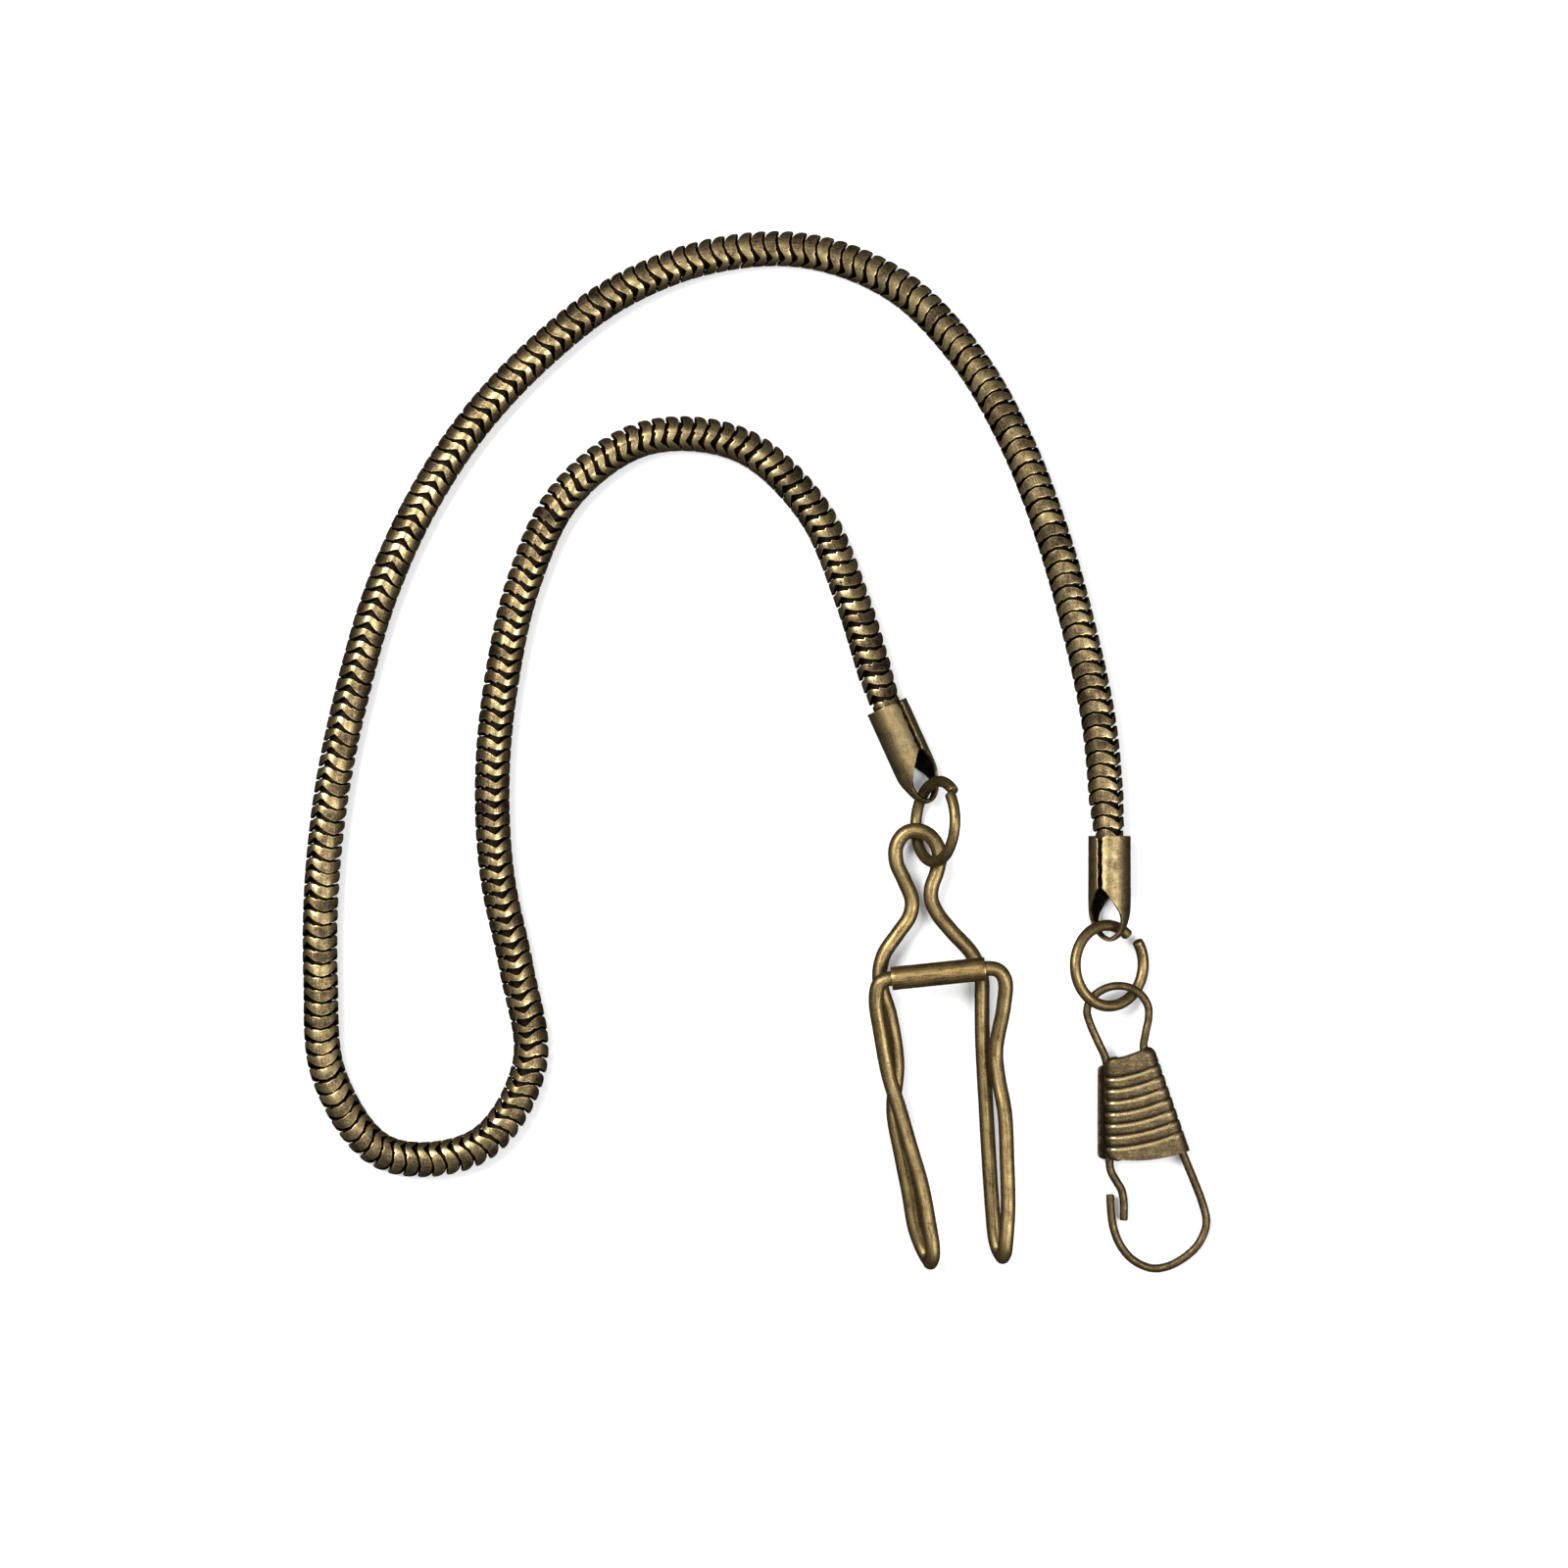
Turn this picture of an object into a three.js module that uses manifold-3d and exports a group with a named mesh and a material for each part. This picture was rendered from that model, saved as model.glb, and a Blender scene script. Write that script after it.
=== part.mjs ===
// A pocket watch chain laid out flat on a surface: a snake chain between two crimped end caps,
// a jump ring and a wire snap hook for the watch at one end, and a jump ring and a wire clip for
// a pocket or a waistband at the other. Millimetres, +Z up, the surface at z = 0, with the origin
// under the middle of the box around the end fittings.
import * as THREE from "three";
import { mergeVertices } from "three/addons/utils/BufferGeometryUtils.js";
import Module from "manifold-3d";

const wasm = await Module();
wasm.setup();

// Driving dimensions
const CHAIN_DIAMETER = 3.25;
const CHAIN_STEPS = 76;
const CHAIN_SIDES = 8;
const CAP_DIAMETER = 3.9;
const CAP_WALL = 0.35;
const CAP_LENGTH = 9.6;
const CAP_TUBE_LENGTH = 5.0;
const SEAM_WIDTH = 0.3;
const PLATES_DIAMETER = 2.6;
const PLATES_DEPTH = 3.4;
const FACE_GAP = 0.3;
const RING_RADIUS = 3.7;
const RING_WIRE = 1.04;
const HOOK_WIRE = 0.75;
const SLEEVE_THICKNESS = 1.9;
const SLEEVE_WALL = 0.32;
const CLIP_WIRE = 1.38;
const TUBE_DIAMETER = 2.16;
const TUBE_BORE = 1.56;

// The chain's centre line, from the mouth of the watch-end cap to the mouth of the clip-end cap
const CHAIN_ROUTE = [
  [6.4, 14.4, 1.95],
  [6.2, 17.0, 1.85],
  [5.5, 24.3, 1.66],
  [3.6, 33.1, 1.66],
  [1.1, 41.8, 1.66],
  [-2.2, 50.2, 1.66],
  [-6.7, 57.9, 1.66],
  [-13.0, 64.3, 1.66],
  [-21.3, 67.5, 1.66],
  [-30.2, 67.0, 1.66],
  [-38.6, 63.7, 1.66],
  [-45.7, 58.3, 1.66],
  [-51.9, 51.7, 1.66],
  [-56.8, 44.2, 1.66],
  [-60.5, 36.0, 1.66],
  [-63.0, 27.4, 1.66],
  [-64.9, 18.5, 1.66],
  [-65.9, 9.6, 1.66],
  [-66.0, 0.6, 1.66],
  [-65.2, -8.3, 1.66],
  [-60.1, -15.3, 1.66],
  [-51.4, -14.6, 1.66],
  [-46.8, -7.2, 1.66],
  [-48.0, 1.6, 1.66],
  [-49.8, 10.4, 1.66],
  [-50.2, 19.4, 1.66],
  [-49.3, 28.4, 1.66],
  [-47.3, 37.1, 1.66],
  [-43.4, 45.2, 1.66],
  [-36.2, 50.3, 1.66],
  [-27.4, 49.7, 1.66],
  [-20.8, 43.7, 1.66],
  [-17.2, 35.5, 1.66],
  [-15.1, 28.8, 1.85],
  [-14.25, 26.25, 1.95],
];

// The snap hook's wire, from its tip round the hook, up through the sleeve, round the eye and
// down into the sleeve again. The frame's origin is the middle of the eye, with +Z away from
// the surface.
const HOOK_PATH = [
  [-0.65, -16.8, 0],
  [-0.57, -18.3, 0],
  [-0.33, -19.9, 0],
  [0.3, -21.5, 0],
  [1.4, -22.8, 0],
  [3.05, -23.6, 0],
  [4.5, -23.5, 0],
  [6.1, -22.7, 0],
  [7.4, -21.5, 0],
  [8.1, -20.07, 0],
  [8.2, -19.1, 0],
  [7.8, -17.5, 0],
  [7.2, -15.9, 0],
  [6.05, -13.1, 0],
  [4.75, -9.9, 0],
  [3.45, -6.4, 0],
  [2.4, -3.4, 0],
  [2.6, -1.75, 0],
  [2.85, -0.4, 0],
  [2.75, 0.7, 0],
  [2.0, 1.75, 0],
  [0.9, 2.35, 0],
  [-0.4, 2.42, 0],
  [-1.6, 1.97, 0],
  [-2.5, 1.15, 0],
  [-2.82, 0.1, 0],
  [-2.5, -1.1, 0],
  [-1.8, -2.7, 0],
  [-1.12, -4.2, 0],
  [-0.95, -5.4, 0],
  [-0.9, -8.6, 0],
];
// The gate is the same wire's other end, which leaves the sleeve beside the hook's tip
const GATE_PATH = [
  [-0.78, -12.7, 0],
  [-0.73, -13.6, 0],
  [-0.6, -14.6, 0],
  [-0.1, -15.55, 0],
  [0.4, -16.4, 0],
  [0.6, -17.5, 0],
  [0.6, -19.2, 0],
];
const SLEEVE_OUTLINE = [
  [-1.95, -4.5],
  [3.2, -3.3],
  [6.75, -12.75],
  [3.0, -13.5],
  [-1.65, -13.6],
];
const SLEEVE_GROOVES = 7;
const FIRST_GROOVE = -5.5;
const GROOVE_PITCH = 1.08;
const GROOVE_WIDTH = 0.3;
const GROOVE_LENGTH = 12;
const GROOVE_MIDDLE = 2.2;
const GROOVE_SLANT = 10;

// The clip's wire in its own frame, whose origin is the middle of the eye. The back wire runs from
// the left bend up the leg, round the eye and down to the right bend; the jaw wire runs from the
// left bend up over the pinch to the roller and back down.
const CLIP_BACK_PATH = [
  [1.18, -37.78, 1.15],
  [1.17, -37.76, 0.9],
  [0.85, -37.3, 0.3],
  [0.4, -36.4, 0.03],
  [-0.2, -34.7, 0],
  [-0.74, -31.6, 0],
  [-1.4, -28.3, 0],
  [-2.15, -24.0, 0],
  [-1.85, -19.6, 0],
  [-2.5, -15.25, 0],
  [-3.45, -11.8, 0],
  [-3.1, -9.7, 0],
  [-1.8, -7.7, 0],
  [-0.7, -6.06, 0],
  [-0.49, -4.6, 0],
  [-1.2, -2.76, 0],
  [-1.92, -1.1, 0],
  [-1.92, 0.36, 0],
  [-1.23, 1.46, 0],
  [-0.12, 1.83, 0],
  [0.98, 1.46, 0],
  [1.75, 0.55, 0],
  [2.05, -0.56, 0],
  [1.8, -2.0, 0],
  [1.3, -3.5, 0],
  [1.3, -4.6, 0],
  [1.9, -5.9, 0],
  [3.2, -7.5, 0],
  [5.0, -9.5, 0],
  [5.9, -11.8, 0],
  [5.95, -13.5, 0],
  [6.0, -17.4, 0],
  [6.35, -24.0, 0],
  [6.6, -28.3, 0],
  [6.9, -32.7, 0],
  [7.2, -35.75, 0.03],
  [7.5, -36.8, 0.3],
  [7.79, -37.24, 0.9],
  [7.8, -37.26, 1.15],
];
const CLIP_JAW_PATH = [
  [1.18, -37.78, 1.65],
  [1.19, -37.76, 1.9],
  [1.38, -37.2, 2.5],
  [1.38, -36.2, 2.75],
  [1.1, -34.4, 2.7],
  [0.35, -30.5, 2.35],
  [-0.63, -27.2, 2.05],
  [-1.72, -23.5, 1.75],
  [-2.6, -20.7, 1.6],
  [-3.35, -16.8, 2.1],
  [-3.8, -13.5, 2.6],
  [-3.5, -12.1, 2.78],
  [-2.8, -11.692, 2.8],
  [-2.4, -11.65, 2.8],
  [-1.9, -11.598, 2.8],
  [5.7, -10.802, 2.8],
  [6.2, -10.75, 2.8],
  [6.6, -10.708, 2.8],
  [7.4, -10.9, 2.78],
  [8.0, -11.8, 2.7],
  [7.9, -14.2, 2.3],
  [7.2, -18.3, 1.6],
  [7.4, -20.7, 1.7],
  [8.0, -24.0, 2.1],
  [8.2, -28.3, 2.5],
  [8.3, -32.7, 2.75],
  [8.1, -35.9, 2.75],
  [8.0, -36.75, 2.5],
  [7.81, -37.24, 1.9],
  [7.8, -37.26, 1.65],
];
const TUBE_LEFT = new THREE.Vector3(-2.4, -11.65, 2.8);
const TUBE_RIGHT = new THREE.Vector3(6.2, -10.75, 2.8);

// Where the fittings lie. Angles are in degrees.
const WATCH_CAP = { at: [6.45, 13.8, 1.96], heading: 0, lift: 0.8, roll: -30 };
const CLIP_CAP = { at: [-14.0, 25.7, 1.96], heading: 24.4, lift: 0, roll: 39 };
const WATCH_RING = { at: [6.3, 1.9, 2.35], tilt: 34, turn: 0, arc: [48, 397], spread: [-0.3, 0.5] };
const CLIP_RING = { at: [-9.57, 15.13, 3.85], tilt: -60, turn: -3, arc: [50, 404], spread: [-0.35, 0.2] };
const SNAP_HOOK = { at: [7.2, -2.4, 2.05], pitch: 4.0 };
const CLIP = { at: [-11.2, 12.5, 2.08], pitch: 2.05 };

const finishes = {
  chain: { color: 0x77653f, roughness: 0.42, metalness: 0.9 },
  sheet: { color: 0x6e5c38, roughness: 0.38, metalness: 0.9 },
  wire: { color: 0x7a683f, roughness: 0.34, metalness: 0.9 },
};

function rad(degrees) {
  return THREE.MathUtils.degToRad(degrees);
}

// A smooth curve through a list of points
function through(points) {
  return new THREE.CatmullRomCurve3(points.map(([x, y, z]) => new THREE.Vector3(x, y, z)));
}

function mesh(name, geometry, finish) {
  const made = new THREE.Mesh(geometry, new THREE.MeshStandardMaterial(finishes[finish]));
  made.name = name;
  return made;
}

function circle(radius, sides) {
  const corners = [];
  for (let i = 0; i < sides; i++) {
    const a = (2 * Math.PI * i) / sides;
    corners.push(new THREE.Vector2(radius * Math.cos(a), radius * Math.sin(a)));
  }
  return new THREE.Shape(corners);
}

// A round bar along a curve, with flat ends
function bar(curve, diameter, steps, sides) {
  const options = { steps, extrudePath: curve, bevelEnabled: false };
  return new THREE.ExtrudeGeometry(circle(diameter / 2, sides), options);
}

function solid(geometry) {
  const bare = geometry.index ? geometry.toNonIndexed() : geometry.clone();
  bare.deleteAttribute("normal");
  bare.deleteAttribute("uv");
  const merged = mergeVertices(bare, 1e-4);
  const vertProperties = merged.attributes.position.array;
  const triVerts = new Uint32Array(merged.index.array);
  return new wasm.Manifold(new wasm.Mesh({ numProp: 3, vertProperties, triVerts }));
}

function geometryOf(manifold) {
  const made = manifold.getMesh();
  const geometry = new THREE.BufferGeometry();
  geometry.setAttribute("position", new THREE.BufferAttribute(made.vertProperties, 3));
  geometry.setIndex(new THREE.BufferAttribute(made.triVerts, 1));
  return geometry;
}

// A flat outline made solid between two heights
function slab(outline, low, high) {
  const shape = new THREE.Shape(outline.map(([x, y]) => new THREE.Vector2(x, y)));
  const geometry = new THREE.ExtrudeGeometry(shape, { depth: high - low, bevelEnabled: false });
  return geometry.translate(0, 0, low);
}

// An open jump ring: an arc whose two ends are sprung apart along the ring's own axis
class RingCurve extends THREE.Curve {
  constructor(ring) {
    super();
    this.ring = ring;
  }

  getPoint(t, target = new THREE.Vector3()) {
    const { arc, spread } = this.ring;
    const angle = rad(THREE.MathUtils.lerp(arc[0], arc[1], t));
    const offset = THREE.MathUtils.lerp(spread[0], spread[1], t);
    return target.set(RING_RADIUS * Math.cos(angle), RING_RADIUS * Math.sin(angle), offset);
  }
}

function jumpRing(name, ring) {
  const made = mesh(name, bar(new RingCurve(ring), RING_WIRE, 40, 10), "wire");
  made.position.set(...ring.at);
  made.rotation.set(0, rad(ring.tilt), rad(ring.turn), "ZYX");
  return made;
}

// A crimped end cap: a rolled tube with an open seam, cut away below into two straps that meet
// in a narrow bail. Its frame has the mouth at the origin and the bail towards -Y.
function capGeometry() {
  const r = CAP_DIAMETER / 2;
  const w = CAP_WALL;
  const end = CAP_LENGTH;
  const outer = [
    [r, 0],
    [r, -6.4],
    [r - 0.12, -7.2],
    [r - 0.42, -8.0],
    [r - 0.85, -8.8],
    [r - 1.25, -9.35],
    [0, -end],
  ];
  const inner = outer.map(([x, y]) => [Math.max(x - w, 0), y < -9 ? y + 1.3 * w : y]);
  const profile = [...outer.reverse(), ...inner].map(([x, y]) => new THREE.Vector2(x, y));
  const shell = solid(new THREE.LatheGeometry(profile, 24));
  const window = [
    [0, -CAP_TUBE_LENGTH + 0.1],
    [-0.8, -5.8],
    [-1.3, -6.8],
    [-1.28, -7.6],
    [-0.98, -8.55],
    [-0.45, -9.23],
    [0.45, -9.23],
    [0.98, -8.55],
    [1.28, -7.6],
    [1.3, -6.8],
    [0.8, -5.8],
  ];
  // seen from the side, the straps narrow towards the bail
  const side = [
    [-2.2, 0.2],
    [-2.2, -5.0],
    [-1.2, -6.6],
    [-0.5, -7.8],
    [-0.34, -8.6],
    [-0.34, -10],
    [0.34, -10],
    [0.34, -8.6],
    [0.5, -7.8],
    [1.2, -6.6],
    [2.2, -5.0],
    [2.2, 0.2],
  ];
  const seam = new THREE.BoxGeometry(SEAM_WIDTH, CAP_TUBE_LENGTH + 1, 2);
  seam.translate(0, 0.4 - CAP_TUBE_LENGTH / 2, r);
  const silhouette = slab(side, -3, 3).rotateY(Math.PI / 2);
  const straps = shell.intersect(solid(silhouette)).subtract(solid(slab(window, -3, 3)));
  return geometryOf(straps.subtract(solid(seam)));
}

function endCap(end, cap) {
  const group = new THREE.Group();
  group.position.set(...cap.at);
  group.rotation.set(rad(-cap.lift), rad(cap.roll), rad(cap.heading), "ZXY");
  group.add(mesh(end + "_end_cap", capGeometry(), "sheet"));
  const length = PLATES_DEPTH + FACE_GAP;
  const plates = new THREE.CylinderGeometry(PLATES_DIAMETER / 2, PLATES_DIAMETER / 2, length, 12);
  const gripped = mesh(end + "_end_plates", plates, "chain");
  gripped.position.y = FACE_GAP - length / 2;
  group.add(gripped);
  return group;
}

// The snap hook's sleeve: flattened sheet wrapped round both wires, ribbed across its front
function sleeveGeometry() {
  const half = SLEEVE_THICKNESS / 2;
  const room = half - SLEEVE_WALL;
  const [topLeft, topRight, bottomRight, , bottomLeft] = SLEEVE_OUTLINE;
  const overrun = 3; // the cavity's cutter runs this far past both open ends
  const slope = (bottomRight[0] - topRight[0]) / (topRight[1] - bottomRight[1]);
  const cavity = [
    [topLeft[0] + SLEEVE_WALL, topLeft[1] + overrun],
    [topRight[0] - SLEEVE_WALL - slope * overrun, topRight[1] + overrun],
    [bottomRight[0] - SLEEVE_WALL + slope * overrun, bottomRight[1] - overrun],
    [bottomLeft[0] + SLEEVE_WALL, bottomLeft[1] - overrun],
  ];
  let sleeve = solid(slab(SLEEVE_OUTLINE, -half, half)).subtract(solid(slab(cavity, -room, room)));
  for (let i = 0; i < SLEEVE_GROOVES; i++) {
    const size = [GROOVE_LENGTH, GROOVE_WIDTH, GROOVE_WIDTH];
    const groove = new THREE.BoxGeometry(...size).rotateZ(rad(GROOVE_SLANT));
    groove.translate(GROOVE_MIDDLE, FIRST_GROOVE - GROOVE_PITCH * i, half);
    sleeve = sleeve.subtract(solid(groove));
  }
  return geometryOf(sleeve);
}

function snapHook() {
  const group = new THREE.Group();
  group.position.set(...SNAP_HOOK.at);
  group.rotation.x = rad(SNAP_HOOK.pitch);
  group.add(mesh("hook_wire", bar(through(HOOK_PATH), HOOK_WIRE, 84, 8), "wire"));
  group.add(mesh("hook_gate", bar(through(GATE_PATH), HOOK_WIRE, 12, 8), "wire"));
  group.add(mesh("hook_sleeve", sleeveGeometry(), "sheet"));
  return group;
}

// The roller: a thin tube round the straight part of the jaw wire
function rollerMesh() {
  const length = TUBE_LEFT.distanceTo(TUBE_RIGHT);
  const profile = [
    [TUBE_BORE / 2, -length / 2],
    [TUBE_DIAMETER / 2, -length / 2],
    [TUBE_DIAMETER / 2, length / 2],
    [TUBE_BORE / 2, length / 2],
    [TUBE_BORE / 2, -length / 2],
  ].map(([x, y]) => new THREE.Vector2(x, y));
  const roller = mesh("clip_tube", new THREE.LatheGeometry(profile, 20), "sheet");
  const along = TUBE_RIGHT.clone().sub(TUBE_LEFT).normalize();
  roller.quaternion.setFromUnitVectors(new THREE.Vector3(0, 1, 0), along);
  roller.position.copy(TUBE_LEFT).lerp(TUBE_RIGHT, 0.5);
  return roller;
}

function clip() {
  const group = new THREE.Group();
  group.position.set(...CLIP.at);
  group.rotation.x = rad(CLIP.pitch);
  group.add(mesh("clip_back_wire", bar(through(CLIP_BACK_PATH), CLIP_WIRE, 90, 8), "wire"));
  group.add(mesh("clip_jaw_wire", bar(through(CLIP_JAW_PATH), CLIP_WIRE, 64, 8), "wire"));
  group.add(rollerMesh());
  return group;
}

const watchChain = new THREE.Group();
const chainRod = bar(through(CHAIN_ROUTE), CHAIN_DIAMETER, CHAIN_STEPS, CHAIN_SIDES);
watchChain.add(mesh("snake_chain", chainRod, "chain"));
watchChain.add(endCap("watch", WATCH_CAP));
watchChain.add(jumpRing("watch_end_ring", WATCH_RING));
watchChain.add(snapHook());
watchChain.add(endCap("clip", CLIP_CAP));
watchChain.add(jumpRing("clip_end_ring", CLIP_RING));
watchChain.add(clip());

export default watchChain;
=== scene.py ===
import math

import bpy
import numpy as np
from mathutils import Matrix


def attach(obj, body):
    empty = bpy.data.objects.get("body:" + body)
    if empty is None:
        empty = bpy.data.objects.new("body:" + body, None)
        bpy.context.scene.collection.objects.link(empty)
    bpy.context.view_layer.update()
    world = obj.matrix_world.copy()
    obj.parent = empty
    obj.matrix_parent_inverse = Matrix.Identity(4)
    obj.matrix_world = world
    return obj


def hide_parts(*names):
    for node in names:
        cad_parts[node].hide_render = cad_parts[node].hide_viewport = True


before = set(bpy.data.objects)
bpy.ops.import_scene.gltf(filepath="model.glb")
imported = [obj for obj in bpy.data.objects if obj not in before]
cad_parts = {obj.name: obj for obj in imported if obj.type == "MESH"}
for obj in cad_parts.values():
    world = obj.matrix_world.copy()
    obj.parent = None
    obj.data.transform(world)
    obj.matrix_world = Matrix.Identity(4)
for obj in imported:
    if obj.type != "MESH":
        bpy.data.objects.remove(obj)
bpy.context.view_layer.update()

# A pocket watch chain in antique brass, laid out on a pale surface. Lengths are millimetres in the
# part's own frame, +Z up from the surface, and MM turns them into Blender's metres.
MM = 0.001
RANDOM = np.random.default_rng(7)

# ---------------------------------------------------------------- sizes and places

# How far apart a curve's points are, on the chain's centre line, a cap's sheet and a wire, and
# how many a ring has
ROUTE_STEP = 0.25
CAP_STEP = 0.16
WIRE_STEP = 0.22
RING_POINTS = 160
# From how many degrees an edge is shaded sharp: on plates and wires, and on sheet
SHARP_ANGLE = 35
SHEET_SHARP_ANGLE = 50

PICTURE_WIDTH = 144.0
PICTURE_CENTRE = (-23.43, 18.57)
CAMERA_HEIGHT = 800.0
CHAIN_HEIGHT = 1.7
SENSOR_WIDTH = 36.0
FLOOR_REACH = 3000.0
FLOOR_DROP = 0.02
FLOOR_WHITE = (0.93, 0.93, 0.93)
FLOOR_ROUGHNESS = 0.9
BACKDROP_RADIUS = 1500.0
BACKDROP_GREY = (0.38, 0.38, 0.38)
BACKDROP_SIDES = 64
# Each light's place from the middle of the picture, its size, and its power in watts
KEY_LIGHT = {"offset": (-280, 190, 540), "size": (300, 300), "watts": 5.2}
FILL_LIGHT = {"offset": (330, -120, 480), "size": (300, 500), "watts": 3.3}
# How bright the room is from straight below (0) through level (0.5) to straight above (1)
ROOM_LIGHT = [(0.0, 0.02), (0.45, 0.05), (0.65, 0.24), (1.0, 0.52)]

CHAIN_DIAMETER = 3.25
PLATE_PITCH = 1.19
PLATE_SHEET = 0.3
COLLAR_RADIUS = 1.05
COLLAR_SHEET = 0.15
COLLAR_LAP = 0.2
NECK_PLATES = 2
NECK_SHARE = 0.9
# A plate's wavy band over half of one of its three equal waves: degrees from the wave's peak,
# and where the band starts and ends along the chain. The notch ahead of a peak is sharp, and
# the peak stands between two short slits.
PLATE_WAVES = 3
PLATE_EDGE = [
    (0, -0.14, 0.48), (9, -0.11, 0.62), (20, 0.0, 0.85), (30, 0.17, 1.03), (36, 0.12, 1.1),
    (47, 0.17, 1.2), (60, 0.25, 1.28),
]
PLATE_MIDDLE = 0.62
PLATE_BEVEL = 0.07
# A band's radius in a bowl, and how far it swells at a peak and at the tip, as shares of the
# chain's, with how many degrees each swelling spans on one side
BOWL_RADIUS = 0.965
PEAK_SWELL = 0.045
PEAK_SPAN = 22
TIP_SWELL = 0.03
# The place where the two ends of a plate meet: its angle round the plate and its pointed tip
JOINT_ANGLE = 190.0
JOINT_SHALLOW = 0.17
JOINT_SPAN = 30
TIP_ANGLE = 201.0
TIP_RISE = 0.2
TIP_SPAN = 6
# How far the plates differ: degrees turned, millimetres slid, and wear
TURN_SPREAD = 1.6
SLIDE_SPREAD = 0.025
WEAR_SPREAD = 0.09

# The chain's centre line, from the mouth of the watch-end cap to the mouth of the clip-end cap
CHAIN_ROUTE = [
    (6.4, 14.4, 1.95), (6.2, 17.0, 1.85), (5.5, 24.3, 1.66), (3.6, 33.1, 1.66), (1.1, 41.8, 1.66),
    (-2.2, 50.2, 1.66), (-6.7, 57.9, 1.66), (-13.0, 64.3, 1.66), (-21.3, 67.5, 1.66),
    (-30.2, 67.0, 1.66), (-38.6, 63.7, 1.66), (-45.7, 58.3, 1.66), (-51.9, 51.7, 1.66),
    (-56.8, 44.2, 1.66), (-60.5, 36.0, 1.66), (-63.0, 27.4, 1.66), (-64.9, 18.5, 1.66),
    (-65.9, 9.6, 1.66), (-66.0, 0.6, 1.66), (-65.2, -8.3, 1.66), (-60.1, -15.3, 1.66),
    (-51.4, -14.6, 1.66), (-46.8, -7.2, 1.66), (-48.0, 1.6, 1.66), (-49.8, 10.4, 1.66),
    (-50.2, 19.4, 1.66), (-49.3, 28.4, 1.66), (-47.3, 37.1, 1.66), (-43.4, 45.2, 1.66),
    (-36.2, 50.3, 1.66), (-27.4, 49.7, 1.66), (-20.8, 43.7, 1.66), (-17.2, 35.5, 1.66),
    (-15.1, 28.8, 1.85), (-14.25, 26.25, 1.95),
]
# How the chain is twisted as it lies: millimetres along it, and the angle of a plate's peak from
# straight up, in degrees
CHAIN_TWIST = [
    (0, -82), (14, -74), (40, -58), (64, -36), (90, -20), (104, -10), (118, 3), (131, 21),
    (145, 38), (158, 59), (171, 76), (184, 95), (198, 120), (217, 133), (238, 144), (260, 146),
    (279, 151), (290, 154),
]

CAP_DIAMETER = 3.9
CAP_WALL = 0.35
CAP_LENGTH = 9.7
CAP_SEAM = 0.42
CAP_CORNER = 0.45
CAP_TUBE_LENGTH = 4.95
CAP_EDGE = 0.09
# How the seam's edges wander: how far, as shares of the seam, how fast along it, and from where
CAP_RAGGED = [(0.14, 5.1, 0), (0.08, 11.3, 1)]
CAP_PLATES_DIAMETER = 2.6
CAP_PLATES_DEPTH = 3.4
CAP_PLATES_SHOW = 0.6
# Half of the cap's outline seen from its side, from the mouth to the bail: how far the sheet's
# middle has come in from the tube's radius, and how far it is from the mouth
CAP_OUTLINE = [(0, 0), (0, 3), (0, 6.4), (0.06, 7.2), (0.24, 8.0), (0.62, 8.8), (1.15, 9.3)]
# Half of a strap's width as a share of the tube's radius, at distances along it from the mouth
CAP_STRAP = [
    (0.0, 1.0), (4.9, 1.0), (5.0, 0.975), (5.3, 0.94), (5.8, 0.86), (6.6, 0.65), (7.2, 0.45),
    (7.8, 0.29), (8.6, 0.2), (9.6, 0.18), (12.0, 0.18),
]

RING_RADIUS = 3.7
RING_WIRE = 1.04
HOOK_WIRE = 0.75
WIRE_SIDES = 28
CLIP_WIRE = 1.38
BEND_GAP = 0.1
BEND_BALL = 0.97
TUBE_DIAMETER = 2.16
TUBE_BORE = 1.56
TUBE_RIM = 0.09
TUBE_SIDES = 48
TUBE_STEPS = 24
TUBE_LEFT = (-2.4, -11.65, 2.8)
TUBE_RIGHT = (6.2, -10.75, 2.8)

# Where the fittings lie: a cap's mouth, the middle of a ring, and the middle of each eye
WATCH_CAP = {"at": (6.45, 13.8, 1.96), "heading": 0, "lift": 0.8, "roll": -30}
CLIP_CAP = {"at": (-14.0, 25.7, 1.96), "heading": 24.4, "lift": 0, "roll": 39}
WATCH_RING = {
    "at": (6.3, 1.9, 2.35), "tilt": 34, "turn": 0, "arc": (48, 397), "spread": (-0.3, 0.5),
}
CLIP_RING = {
    "at": (-9.57, 15.13, 3.85), "tilt": -60, "turn": -3, "arc": (50, 404), "spread": (-0.35, 0.2),
}
SNAP_HOOK = {"at": (7.2, -2.4, 2.05), "pitch": 4.0}
CLIP = {"at": (-11.2, 12.5, 2.08), "pitch": 2.05}

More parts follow.
